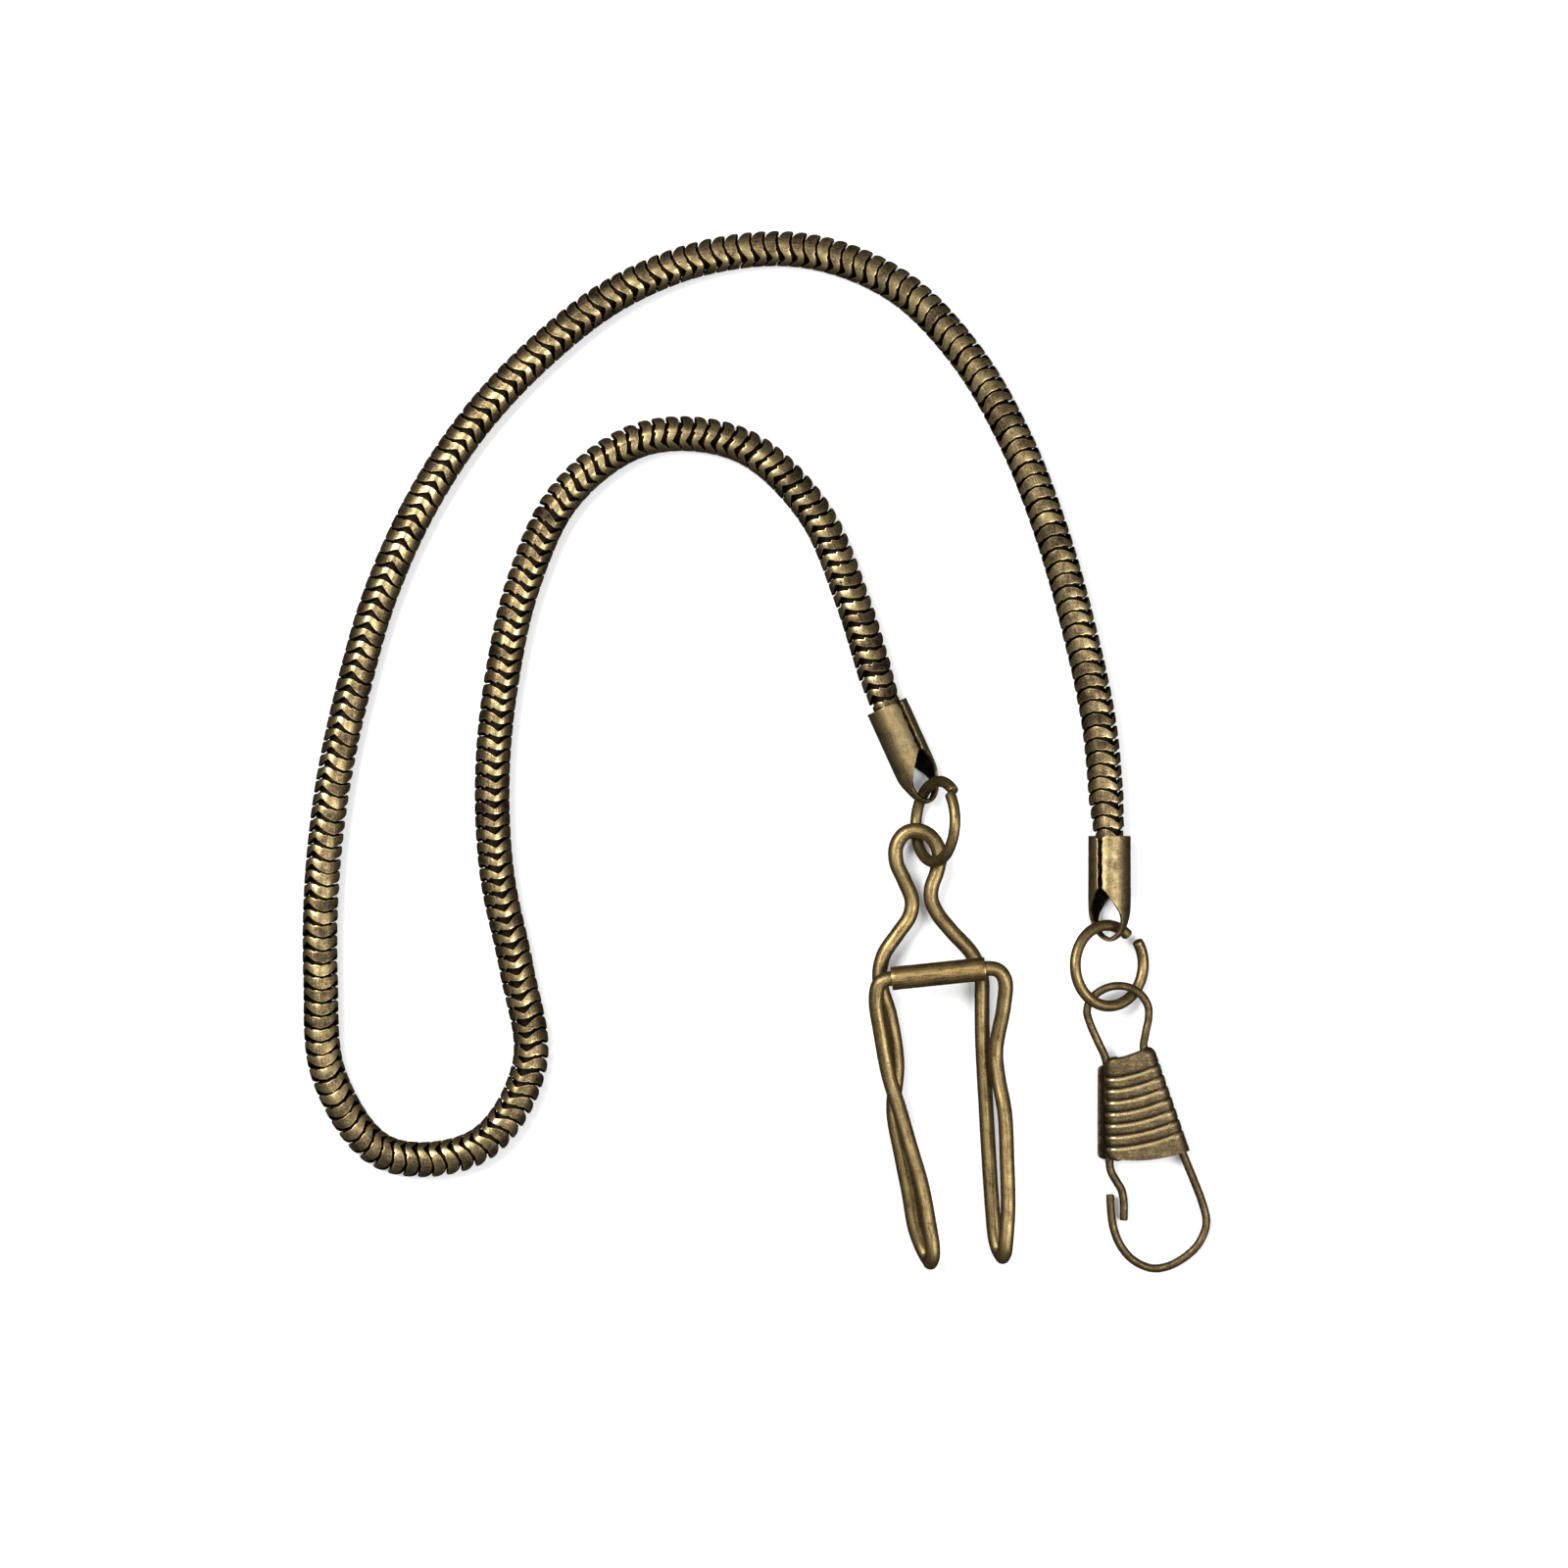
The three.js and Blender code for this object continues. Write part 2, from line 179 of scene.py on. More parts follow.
# The snap hook's wire and gate, in the frame of its eye
HOOK_PATH = [
    (-0.65, -16.8, 0), (-0.57, -18.3, 0), (-0.33, -19.9, 0), (0.3, -21.5, 0), (1.4, -22.8, 0),
    (3.05, -23.6, 0), (4.5, -23.5, 0), (6.1, -22.7, 0), (7.4, -21.5, 0), (8.1, -20.07, 0),
    (8.2, -19.1, 0), (7.8, -17.5, 0), (7.2, -15.9, 0), (6.05, -13.1, 0), (4.75, -9.9, 0),
    (3.45, -6.4, 0), (2.4, -3.4, 0), (2.6, -1.75, 0), (2.85, -0.4, 0), (2.75, 0.7, 0),
    (2.0, 1.75, 0), (0.9, 2.35, 0), (-0.4, 2.42, 0), (-1.6, 1.97, 0), (-2.5, 1.15, 0),
    (-2.82, 0.1, 0), (-2.5, -1.1, 0), (-1.8, -2.7, 0), (-1.12, -4.2, 0), (-0.95, -5.4, 0),
    (-0.9, -8.6, 0),
]
GATE_PATH = [
    (-0.78, -12.7, 0), (-0.73, -13.6, 0), (-0.6, -14.6, 0), (-0.1, -15.55, 0), (0.4, -16.4, 0),
    (0.6, -17.5, 0), (0.6, -19.2, 0),
]

# The clip's wires, in the frame of its eye. They meet in the bottom bends, on the jaw's hinge
# line: each stops just short of it, and a ball on the back wire's ends fills the gap.
CLIP_BACK_PATH = [
    (1.18, -37.78, 1.4), (1.17, -37.76, 0.9), (0.85, -37.3, 0.3), (0.4, -36.4, 0.03),
    (-0.2, -34.7, 0), (-0.74, -31.6, 0), (-1.4, -28.3, 0), (-2.15, -24.0, 0), (-1.85, -19.6, 0),
    (-2.5, -15.25, 0), (-3.45, -11.8, 0), (-3.1, -9.7, 0), (-1.8, -7.7, 0), (-0.7, -6.06, 0),
    (-0.49, -4.6, 0), (-1.2, -2.76, 0), (-1.92, -1.1, 0), (-1.92, 0.36, 0), (-1.23, 1.46, 0),
    (-0.12, 1.83, 0), (0.98, 1.46, 0), (1.75, 0.55, 0), (2.05, -0.56, 0), (1.8, -2.0, 0),
    (1.3, -3.5, 0), (1.3, -4.6, 0), (1.9, -5.9, 0), (3.2, -7.5, 0), (5.0, -9.5, 0),
    (5.9, -11.8, 0), (5.95, -13.5, 0), (6.0, -17.4, 0), (6.35, -24.0, 0), (6.6, -28.3, 0),
    (6.9, -32.7, 0), (7.2, -35.75, 0.03), (7.5, -36.8, 0.3), (7.79, -37.24, 0.9),
    (7.8, -37.26, 1.4),
]
CLIP_JAW_PATH = [
    (1.18, -37.78, 1.4), (1.19, -37.76, 1.9), (1.38, -37.2, 2.5), (1.38, -36.2, 2.75),
    (1.1, -34.4, 2.7), (0.35, -30.5, 2.35), (-0.63, -27.2, 2.05), (-1.72, -23.5, 1.75),
    (-2.6, -20.7, 1.6), (-3.35, -16.8, 2.1), (-3.8, -13.5, 2.6), (-3.5, -12.1, 2.78),
    (-2.8, -11.692, 2.8), (-2.4, -11.65, 2.8), (-1.9, -11.598, 2.8), (5.7, -10.802, 2.8),
    (6.2, -10.75, 2.8), (6.6, -10.708, 2.8), (7.4, -10.9, 2.78), (8.0, -11.8, 2.7),
    (7.9, -14.2, 2.3), (7.2, -18.3, 1.6), (7.4, -20.7, 1.7), (8.0, -24.0, 2.1),
    (8.2, -28.3, 2.5), (8.3, -32.7, 2.75), (8.1, -35.9, 2.75), (8.0, -36.75, 2.5),
    (7.81, -37.24, 1.9), (7.8, -37.26, 1.4),
]

# The sleeve's front in the hook's frame: its left fold, its right fold and both open edges
SLEEVE_THICKNESS = 1.9
SLEEVE_SHEET = 0.32
SLEEVE_TOP = ((-1.5, -4.35), (3.2, -3.3))
SLEEVE_BOTTOM = ((-1.3, -13.45), (6.5, -12.75))
SLEEVE_FOLD_INSET = 0.4
SLEEVE_CORNER = 0.45
SLEEVE_BULGE = 0.3
SLEEVE_EDGE = 0.08
SLEEVE_ROWS = 150
SLEEVE_FOLD_SIDES = 26
BACK_SHEET_SHOWS = 0.32
BACK_SHEET_CORNER = 0.5
BACK_SHEET_TOP = -4.9
BACK_SHEET_END = -13.55
BACK_SHEET_HEIGHT = -0.3
SLEEVE_GROOVES = 7
FIRST_GROOVE = 1.6
GROOVE_PITCH = 1.07
GROOVE_DEPTH = 0.2
GROOVE_WIDTH = 0.15
GROOVE_RISE = 1.26
GROOVE_RISE_GAIN = 0.045
GROOVE_BEND = 0.87
# The rib beside each groove: how high, how far from the groove, and how wide
RIB_HEIGHT = 0.07
RIB_OFFSET = 0.25
RIB_WIDTH = 0.13

# Wear and painted light, from 0 for dark patina and painted shade to 1 for bright metal and
# painted highlight. A plate's is in its profile.
WIRE_WEAR = 0.5
# A cap's seam lips are worn and also carry a painted highlight
CAP_WEAR_AND_HIGHLIGHT = {"outside": 0.56, "inside": 0.12, "edges": 0.9, "seam": 0.25}
# On the sleeve, each rib is worn and carries a painted highlight, each groove painted shade, and
# the back is painted near-black as shade under the fold, with a painted highlight on its edge
SLEEVE_WEAR_AND_PAINTED_LIGHT = {"front": 0.42, "rib_wear_and_highlight": 0.65, "grooves": 0.4, "back": 0.02, "back edge": 0.45}
TUBE_WEAR = {"outside": 0.5, "rims": 0.9, "ends": 0.6, "bore": 0.1}


# ---------------------------------------------------------------- lines and frames


def turned(axis, degrees):
    """The rotation matrix about X, Y or Z."""
    c, s = math.cos(math.radians(degrees)), math.sin(math.radians(degrees))
    i, j = {"X": (1, 2), "Y": (2, 0), "Z": (0, 1)}[axis]
    made = np.eye(3)
    made[i, i] = made[j, j] = c
    made[i, j], made[j, i] = -s, s
    return made


def line_length(line):
    """The length of a line of points."""
    return float(np.linalg.norm(np.diff(line, axis=0), axis=1).sum())


def evenly(line, step):
    """The same line with its points about a step apart."""
    along = np.concatenate([[0], np.cumsum(np.linalg.norm(np.diff(line, axis=0), axis=1))])
    wanted = np.linspace(0, along[-1], max(2, round(along[-1] / step) + 1))
    return np.stack([np.interp(wanted, along, line[:, i]) for i in range(line.shape[1])], axis=1)


def smooth_line(points, step):
    """A centripetal Catmull-Rom curve through the points, as even steps."""
    span_steps = 40
    p = np.array(points, float)
    p = np.vstack([2 * p[0] - p[1], p, 2 * p[-1] - p[-2]])
    t = np.linspace(0, 1, span_steps, endpoint=False)[:, None]
    spans = []
    for a, b, c, d in zip(p, p[1:], p[2:], p[3:]):
        u, v, w = (math.sqrt(np.linalg.norm(x)) for x in (b - a, c - b, d - c))
        m = ((b - a) / u - (c - a) / (u + v) + (c - b) / v) * v
        n = ((c - b) / v - (d - b) / (v + w) + (d - c) / w) * v
        spans.append(b + t * m + t**2 * (3 * (c - b) - 2 * m - n) + t**3 * (2 * (b - c) + m + n))
    return evenly(np.vstack([*spans, p[-2:-1]]), step)


def directions(line):
    """The unit direction of a line at each of its points."""
    ahead = np.gradient(line, axis=0)
    return ahead / np.linalg.norm(ahead, axis=1)[:, None]


def hump(at, middle, half_width):
    """A smooth rise to 1 at the middle."""
    return math.exp(-(((at - middle) / half_width) ** 2))


def corner_cut(distance, radius):
    """How far a rounded corner cuts into a side, at a distance from the end."""
    inside = radius - min(radius, max(0.0, distance))
    return radius - math.sqrt(radius**2 - inside**2)


def level_frames(line):
    """Along, side and up at each point of a line that runs along the surface."""
    along = directions(line)
    side = np.cross(along, (0, 0, 1))
    side /= np.linalg.norm(side, axis=1)[:, None]
    return along, side, np.cross(side, along)


def even_frames(line):
    """Along, side and up at each point of any line, turning as little as possible."""
    along = directions(line)
    up = np.empty_like(along)
    first = np.cross(along[0], (0, 0, 1))
    if np.linalg.norm(first) < 0.2:
        first = np.cross(along[0], (1, 0, 0))
    up[0] = np.cross(first / np.linalg.norm(first), along[0])
    for i in range(1, len(line)):
        bent = up[i - 1] - along[i] * (up[i - 1] @ along[i])
        up[i] = bent / np.linalg.norm(bent)
    return along, np.cross(along, up), up


def placed(points, at, rotation):
    """Points of a fitting's own frame in the part's frame."""
    return np.array(points, float) @ rotation.T + np.array(at, float)


# ---------------------------------------------------------------- meshes


def grid_faces(rows, columns, start=0, closed=True):
    """Quads of a grid of vertices, row by row, whose columns may close on themselves."""
    faces = []
    for i in range(rows - 1):
        for j in range(columns if closed else columns - 1):
            a, b = start + i * columns + j, start + i * columns + (j + 1) % columns
            faces.append((a, b, b + columns, a + columns))
    return faces


def ring_faces(sides, depth, start=0):
    """Quads of a closed section of depth points, carried all the way round in sides steps."""
    last = start + (sides - 1) * depth
    faces = grid_faces(sides, depth, start)
    for j in range(depth):
        k = (j + 1) % depth
        faces.append((last + j, last + k, start + k, start + j))
    return faces


def store(mesh, name, values, kind="FLOAT"):
    """Writes one value, or one vector, for each vertex."""
    layer = mesh.attributes.new(name, kind, "POINT")
    values = np.ascontiguousarray(values, np.float32).ravel()
    layer.data.foreach_set("value" if kind == "FLOAT" else "vector", values)


def piece(name, points, faces, material, wear_and_painted_light, grain):
    """A mesh object from points in millimetres, with its tone, from 0 for dark patina and painted
    shade to 1 for worn metal and painted highlight, and its grain, the coordinates along and
    across the metal that its scratches and streaks follow."""
    mesh = bpy.data.meshes.new(name)
    mesh.from_pydata((np.asarray(points, float) * MM).tolist(), [], faces)
    store(mesh, "wear_and_painted_light", wear_and_painted_light)
    store(mesh, "grain", grain, "FLOAT_VECTOR")
    mesh.shade_smooth()
    mesh.set_sharp_from_angle(angle=math.radians(SHARP_ANGLE))
    mesh.materials.append(material)
    made = bpy.data.objects.new(name, mesh)
    bpy.context.scene.collection.objects.link(made)
    return made


def hand_over(made, body, slot, *nodes):
    """The piece rides on a body and stands for CAD nodes."""
    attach(made, body)
    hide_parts(*nodes)
    return made


def applied(made):
    """Turns the object's modifiers into mesh."""
    graph = bpy.context.evaluated_depsgraph_get()
    mesh = bpy.data.meshes.new_from_object(made.evaluated_get(graph), depsgraph=graph)
    made.modifiers.clear()
    made.data = mesh
    return made


def with_wall(made, wall, edge, limit):
    """The sheet gets its thickness and its softened edges, and becomes plain mesh."""
    thick = made.modifiers.new("wall", "SOLIDIFY")
    thick.thickness = wall * MM
    thick.offset = 0
    soft = made.modifiers.new("edge", "BEVEL")
    soft.width = edge * MM
    soft.segments = 3
    soft.angle_limit = math.radians(limit)
    return applied(made)


def vertex_rows(mesh, name):
    """The vertices' places or normals, a row for each."""
    values = np.zeros(len(mesh.vertices) * 3)
    mesh.vertices.foreach_get(name, values)
    return values.reshape(-1, 3)


def settle(mesh, places):
    """Moves the vertices to their places, in millimetres, and shades the edges sharp or smooth."""
    mesh.vertices.foreach_set("co", (places * MM).ravel())
    mesh.update()
    mesh.shade_smooth()
    mesh.set_sharp_from_angle(angle=math.radians(SHEET_SHARP_ANGLE))


def convexity(mesh, rounds=2):
    """How far each vertex stands out from its neighbours, from -1 in a corner to 1 on an edge."""
    n = len(mesh.vertices)
    co, normal = vertex_rows(mesh, "co"), vertex_rows(mesh, "normal")
    edges = np.zeros(len(mesh.edges) * 2, np.int32)
    mesh.edges.foreach_get("vertices", edges)
    a, b = edges.reshape(-1, 2).T
    step = co[b] - co[a]
    step /= np.maximum(np.linalg.norm(step, axis=1), 1e-12)[:, None]
    count = np.bincount(np.concatenate([a, b]), minlength=n)
    out = np.bincount(a, -(step * normal[a]).sum(1), n)
    out += np.bincount(b, (step * normal[b]).sum(1), n)
    out /= np.maximum(count, 1)
    for _ in range(rounds):
        near = np.bincount(a, out[b], n) + np.bincount(b, out[a], n)
        out = 0.5 * out + 0.5 * near / np.maximum(count, 1)
    return out


def wire_end(radius, form):
    """A wire's end as (distance in from the line's end, radius) rows: cut with a rounded rim, cut
    short with a sharp one, or cut short with a ball that reaches past the line's end."""
    if form == "cut":
        rim = 0.24 * radius
        chamfer = 0.3 * rim
        return [(0.0, radius - rim), (chamfer, radius - chamfer), (rim, radius)]
    short = [(BEND_GAP / 2, radius)]
    if form == "short":
        return short
    ball = BEND_BALL * radius
    turns = np.radians(np.arange(10, 96, 10))
    return [(-ball * math.cos(t), ball * math.sin(t)) for t in turns] + short


def tube(line, diameter, sides, form="cut"):
    """A round wire along a line: its points, faces and grain, with both ends of one form."""
    radius = diameter / 2
    along, side, up = even_frames(line)
    angle = np.linspace(0, 2 * math.pi, sides, endpoint=False)
    at_end = wire_end(radius, form)
    tip = BEND_BALL * radius if form == "ball" else -at_end[0][0]
    stations = [(line[0] + along[0] * a, 0, r, a) for a, r in at_end]
    stations += [(line[i], i, radius, 0.0) for i in range(2, len(line) - 2)]
    stations += [(line[-1] - along[-1] * a, -1, r, -a) for a, r in reversed(at_end)]
    walked = np.concatenate([[0], np.cumsum(np.linalg.norm(np.diff(line, axis=0), axis=1))])
    points, grain = [], []
    for centre, i, r, shift in stations:
        ring = np.outer(np.cos(angle), up[i]) + np.outer(np.sin(angle), side[i])
        points.append(centre + r * ring)
        walk = np.full(sides, walked[i] + shift)
        grain.append(np.stack([walk, r * np.cos(angle), r * np.sin(angle)], 1))
    rows = len(stations)
    faces = [f[::-1] for f in grid_faces(rows, sides)]
    points = np.vstack([*points, line[:1] - along[:1] * tip, line[-1:] + along[-1:] * tip])
    grain = np.vstack([*grain, [[0, 0, 0]], [[walked[-1], 0, 0]]])
    first, last = rows * sides, rows * sides + 1
    top = (rows - 1) * sides
    faces += [(first, (j + 1) % sides, j)[::-1] for j in range(sides)]
    faces += [(last, top + j, top + (j + 1) % sides)[::-1] for j in range(sides)]
    return points, faces, grain


# ---------------------------------------------------------------- materials


def linked(tree, kind, inputs=(), **settings):
    """A shader node with its settings. Its inputs are values or other nodes' outputs."""
    node = tree.nodes.new(kind)
    for key, value in settings.items():
        setattr(node, key, value)
    for key, value in dict(inputs).items():
        if isinstance(value, bpy.types.NodeSocket):
            tree.links.new(value, node.inputs[key])
        else:
            node.inputs[key].default_value = value
    return node


def noise(tree, where, scale, detail, rough=0.6):
    """A noise texture's value, from 0 to 1."""
    inputs = {"Vector": where, "Scale": scale, "Detail": detail, "Roughness": rough}
    return linked(tree, "ShaderNodeTexNoise", inputs).outputs["Fac"]


def stretched(tree, where, scale):
    """Coordinates scaled by a factor for each axis."""
    mapping = linked(tree, "ShaderNodeMapping", {"Vector": where, "Scale": scale})
    return mapping.outputs["Vector"]


def mixed(tree, operation, a, b):
    """The result of a sum or product of two values."""
    return linked(tree, "ShaderNodeMath", {0: a, 1: b}, operation=operation).outputs[0]


def ramp(tree, factor, stops, smooth=True):
    """A colour ramp through (position, colour) stops."""
    node = linked(tree, "ShaderNodeValToRGB", {"Fac": factor})
    band = node.color_ramp
    band.interpolation = "EASE" if smooth else "LINEAR"
    while len(band.elements) < len(stops):
        band.elements.new(1.0)
    for element, (position, colour) in zip(band.elements, stops):
        element.position = position
        element.color = (*colour, 1.0)
    return node.outputs["Color"]


# The colours run from near-black, which is patina and also painted shade in gaps and under folds,
# to bright brass; worn brass is worn metal and also painted highlight on lips and peaks
DARK_PATINA_AND_SHADE = (0.008, 0.005, 0.003)
BROWN_PATINA = (0.068, 0.047, 0.025)
OLIVE_BRASS = (0.22, 0.165, 0.078)
WORN_BRASS_AND_HIGHLIGHT = (0.47, 0.36, 0.178)
BRIGHT_BRASS = (0.76, 0.63, 0.38)
PATINA_SHADE_AND_HIGHLIGHT_STOPS = [
    (0.0, DARK_PATINA_AND_SHADE), (0.25, BROWN_PATINA), (0.52, OLIVE_BRASS), (0.8, WORN_BRASS_AND_HIGHLIGHT),
    (1.0, BRIGHT_BRASS),
]
DULL_ROUGHNESS = 0.53
SHINY_ROUGHNESS = 0.25
WIRE_TINT = (1.04, 0.985, 0.88)
TUBE_TINT = (1.07, 0.97, 0.82)
# How many patches and specks there are to a millimetre, and scratches along and across the grain
PATCH_SCALE = 0.9
SPECK_SCALE = 7.0
SCRATCH_SCALE = (0.35, 6.0, 6.0)
RELIEF_HEIGHT = 0.03
RELIEF_STRENGTH = 0.5
METALLIC = 0.95


def antique_brass(name, tone=0.0, streaks=0.3, patches=0.35, speckle=0.3, tint=(1, 1, 1)):
    """Patinated brass whose colour follows its tone: dark patina and painted shade where it is
    sheltered, worn gold and painted highlights on edges, lips and peaks, with patches,
    speckle, and scratches that run along the grain."""
    material = bpy.data.materials.new(name)
    material.use_nodes = True
    tree = material.node_tree
    tree.nodes.clear()
    place = linked(tree, "ShaderNodeTexCoord").outputs["Object"]
    place = stretched(tree, place, (1 / MM, 1 / MM, 1 / MM))
    grain = linked(tree, "ShaderNodeAttribute", attribute_name="grain").outputs["Vector"]
    # The mesh attribute read here holds worn metal and patina, with painted highlights and painted
    # shade in it
    wear_and_painted_light = linked(tree, "ShaderNodeAttribute", attribute_name="wear_and_painted_light").outputs["Fac"]
    patch = noise(tree, place, PATCH_SCALE, 3)
    speck = noise(tree, place, SPECK_SCALE, 4, 0.7)
    scratch = noise(tree, stretched(tree, grain, SCRATCH_SCALE), 1.0, 4, 0.75)
    value = mixed(tree, "ADD", wear_and_painted_light, tone)
    for source, weight in ((patch, patches), (speck, speckle), (scratch, streaks)):
        centred = mixed(tree, "SUBTRACT", source, 0.5)
        value = mixed(tree, "ADD", value, mixed(tree, "MULTIPLY", centred, weight * 2))
    stops = [(at, np.multiply(colour, tint)) for at, colour in PATINA_SHADE_AND_HIGHLIGHT_STOPS]
    colour = ramp(tree, value, stops)
    rough = ramp(tree, value, [(0.1, (DULL_ROUGHNESS,) * 3), (0.9, (SHINY_ROUGHNESS,) * 3)])
    pits, lines = mixed(tree, "MULTIPLY", speck, 0.6), mixed(tree, "MULTIPLY", scratch, 0.8)
    inputs = {"Height": mixed(tree, "ADD", pits, lines)}
    inputs |= {"Strength": RELIEF_STRENGTH, "Distance": RELIEF_HEIGHT * MM}
    relief = linked(tree, "ShaderNodeBump", inputs).outputs["Normal"]
    inputs = {"Base Color": colour, "Roughness": rough, "Metallic": METALLIC, "Normal": relief}
    shader = linked(tree, "ShaderNodeBsdfPrincipled", inputs)
    linked(tree, "ShaderNodeOutputMaterial", {"Surface": shader.outputs["BSDF"]})
    return material


def floor_material():
    """Matt white paper."""
    material = bpy.data.materials.new("pale_paper")
    material.use_nodes = True
    shader = material.node_tree.nodes["Principled BSDF"]
    shader.inputs["Base Color"].default_value = (*FLOOR_WHITE, 1)
    shader.inputs["Roughness"].default_value = FLOOR_ROUGHNESS
    return material


def backdrop_material():
    """Plain grey that looks the same from everywhere."""
    material = bpy.data.materials.new("backdrop_grey")
    material.use_nodes = True
    tree = material.node_tree
    tree.nodes.clear()
    glow = linked(tree, "ShaderNodeEmission", {"Color": (*BACKDROP_GREY, 1)})
    linked(tree, "ShaderNodeOutputMaterial", {"Surface": glow.outputs["Emission"]})
    return material


# ---------------------------------------------------------------- camera, floor and light


def make_camera():
    """A camera straight above the middle of the picture, looking down."""
    data = bpy.data.cameras.new("camera")
    data.sensor_width = SENSOR_WIDTH
    data.lens = SENSOR_WIDTH * CAMERA_HEIGHT / PICTURE_WIDTH
    camera = bpy.data.objects.new("camera", data)
    camera.location = (
        PICTURE_CENTRE[0] * MM,
        PICTURE_CENTRE[1] * MM,
        (CAMERA_HEIGHT + CHAIN_HEIGHT) * MM,
    )
    bpy.context.scene.collection.objects.link(camera)
    bpy.context.scene.camera = camera


def soft_light(name, offset, size, watts):
    """An area light, aimed at the middle of the picture."""
    data = bpy.data.lights.new(name, "AREA")
    data.shape = "RECTANGLE"
    data.size, data.size_y = size[0] * MM, size[1] * MM
    data.energy = watts
    light = bpy.data.objects.new(name, data)
    x, y, z = (o * MM for o in offset)
    light.location = (PICTURE_CENTRE[0] * MM + x, PICTURE_CENTRE[1] * MM + y, z)
    back = np.array([x, y, z]) / np.linalg.norm([x, y, z])
    light.rotation_euler = (math.acos(back[2]), 0, math.atan2(back[0], -back[1]))
    bpy.context.scene.collection.objects.link(light)


def staged(name, points, faces, material):
    """An object of the room, from points in millimetres."""
    mesh = bpy.data.meshes.new(name)
    mesh.from_pydata((np.asarray(points, float) * MM).tolist(), [], faces)
    mesh.materials.append(material)
    made = bpy.data.objects.new(name, mesh)
    bpy.context.scene.collection.objects.link(made)
    return made


def floor():
    """A pale floor, which doesn't show in the metal."""
    reach = FLOOR_REACH
    corners = [(-reach, -reach), (reach, -reach), (reach, reach), (-reach, reach)]
    points = [(x, y, -FLOOR_DROP) for x, y in corners]
    made = staged("floor", points, [(0, 1, 2, 3)], floor_material())
    made.visible_glossy = False


def backdrop():
    """A grey wall all round, far off, which neither lights the object nor shows in it."""
    angles = np.linspace(0, 2 * math.pi, BACKDROP_SIDES, endpoint=False)
    rim = BACKDROP_RADIUS * np.stack([np.cos(angles), np.sin(angles)], 1)
    rows = [np.column_stack([rim, np.full(len(rim), z)]) for z in (-1, BACKDROP_RADIUS)]
    wall = staged("backdrop", np.vstack(rows), grid_faces(2, len(rim)), backdrop_material())
    wall.visible_diffuse = False
    wall.visible_glossy = False
    wall.visible_transmission = False
    wall.visible_shadow = False


def room_light():
    """Soft light from above, which gets darker low down and so keeps the metal's sides dark."""
    world = bpy.data.worlds.new("room")
    bpy.context.scene.world = world
    world.use_nodes = True
    tree = world.node_tree
    ways = linked(tree, "ShaderNodeTexCoord").outputs["Generated"]
    height = linked(tree, "ShaderNodeSeparateXYZ", {0: ways}).outputs["Z"]
    share = linked(tree, "ShaderNodeMath", {0: height, 1: 0.5, 2: 0.5}, operation="MULTIPLY_ADD")
    stops = [(at, (light,) * 3) for at, light in ROOM_LIGHT]
    colour = ramp(tree, share.outputs[0], stops, smooth=False)
    tree.links.new(colour, tree.nodes["Background"].inputs["Color"])


def studio():
    """A pale floor under plain soft light."""
    floor()
    backdrop()
    room_light()
    soft_light("key", **KEY_LIGHT)
    soft_light("fill", **FILL_LIGHT)
    bpy.context.scene.view_settings.view_transform = "Standard"


# ---------------------------------------------------------------- the chain


def plate_profile(radius, peak, low, high):
    """A plate's closed section as (distance along, radius, tone) rows, for one angle round it.
    low and high are where its outer band starts and ends, and peak is 1 at a wave's peak."""
    under = low + PLATE_PITCH + COLLAR_LAP
    bevel = PLATE_BEVEL * peak
    return [
        # The band's lips, brightest at a peak, are worn metal and also a painted highlight; the
        # inner sheet and the collar, under the next plate, are painted shade
        (low, radius - PLATE_BEVEL - bevel, 0.4 - 0.25 * peak),
        (low + 0.05 + bevel, radius - 0.005, 0.78 + 0.1 * peak),
        (low + 0.15 + bevel, radius + 0.01, 0.4 + 0.28 * peak),
        (high - 0.15, radius + 0.02, 0.36 + 0.23 * peak),
        (high - 0.05, radius + 0.015, 0.56 + 0.16 * peak),
        (high, radius - 0.04, 0.3),
        (high - 0.04, radius - PLATE_SHEET, -0.2),
        (high - 0.3, COLLAR_RADIUS, -0.3),
        (under, COLLAR_RADIUS, -0.3),
        (under, COLLAR_RADIUS - COLLAR_SHEET, -0.35),
        (low + 0.15, COLLAR_RADIUS - COLLAR_SHEET, -0.35),
    ]


def plate_rows(radius):
    """The section at each angle round a plate, and the angles. Its waves' peaks point back
    along the chain, with a notch ahead of each, and the bowls between them point forward."""
    steps, lows, highs = np.transpose(PLATE_EDGE)
    spread = 360 / PLATE_WAVES
    around = [k * spread + a for k in range(PLATE_WAVES) for a in (*-steps[:0:-1], *steps[:-1])]
    rows = []
    for angle in around:
        off = abs((angle + spread / 2) % spread - spread / 2)
        peak = hump(off, 0, PEAK_SPAN)
        tip = hump(angle, TIP_ANGLE, TIP_SPAN)
        joint = hump(angle, JOINT_ANGLE, JOINT_SPAN)
        low = np.interp(off, steps, lows) - TIP_RISE * tip - PLATE_MIDDLE
        high = np.interp(off, steps, highs) - JOINT_SHALLOW * joint - PLATE_MIDDLE
        share = BOWL_RADIUS + PEAK_SWELL * peak + TIP_SWELL * tip
        rows.append(plate_profile(radius * share, peak, low, high))
    return np.array(rows), np.radians(around)


